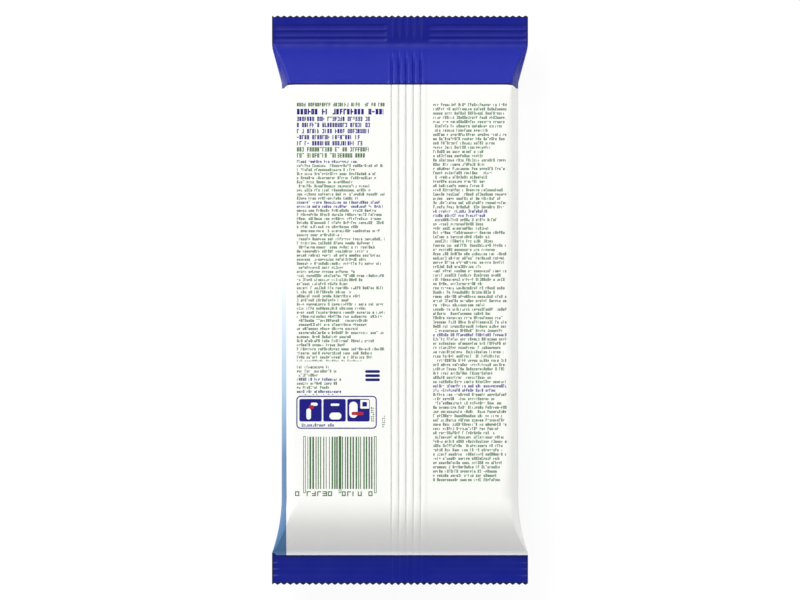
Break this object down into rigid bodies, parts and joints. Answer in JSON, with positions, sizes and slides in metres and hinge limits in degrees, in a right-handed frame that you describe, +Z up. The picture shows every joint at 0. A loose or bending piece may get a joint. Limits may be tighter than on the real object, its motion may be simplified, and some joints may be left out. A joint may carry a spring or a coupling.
{
  "type": "wet wipes pack",
  "caption": "Flow-wrapped film pack of wet wipes lying on its front, with toothed end seals, gusseted ends, a ribbed fin seal on the back and a glued reseal label underneath.",
  "frame": {"origin": "middle of the underside, under the middle of the pack's length and width", "axes": "+Z up out of the back face, +Y along the pack's length towards its blue upper end, +X across its width to the side that the fin seal is folded to"},
  "size_m": [0.1112, 0.2478, 0.0353],
  "materials": {
    "laminated_film": "satin, printed deep blue at both ends and sky blue on the front",
    "label_film": "smooth, slightly glossy"
  },
  "bodies": {
    "root": {"wipes_pack": "laminated_film", "reseal_label": "label_film"}
  },
  "joints": []
}
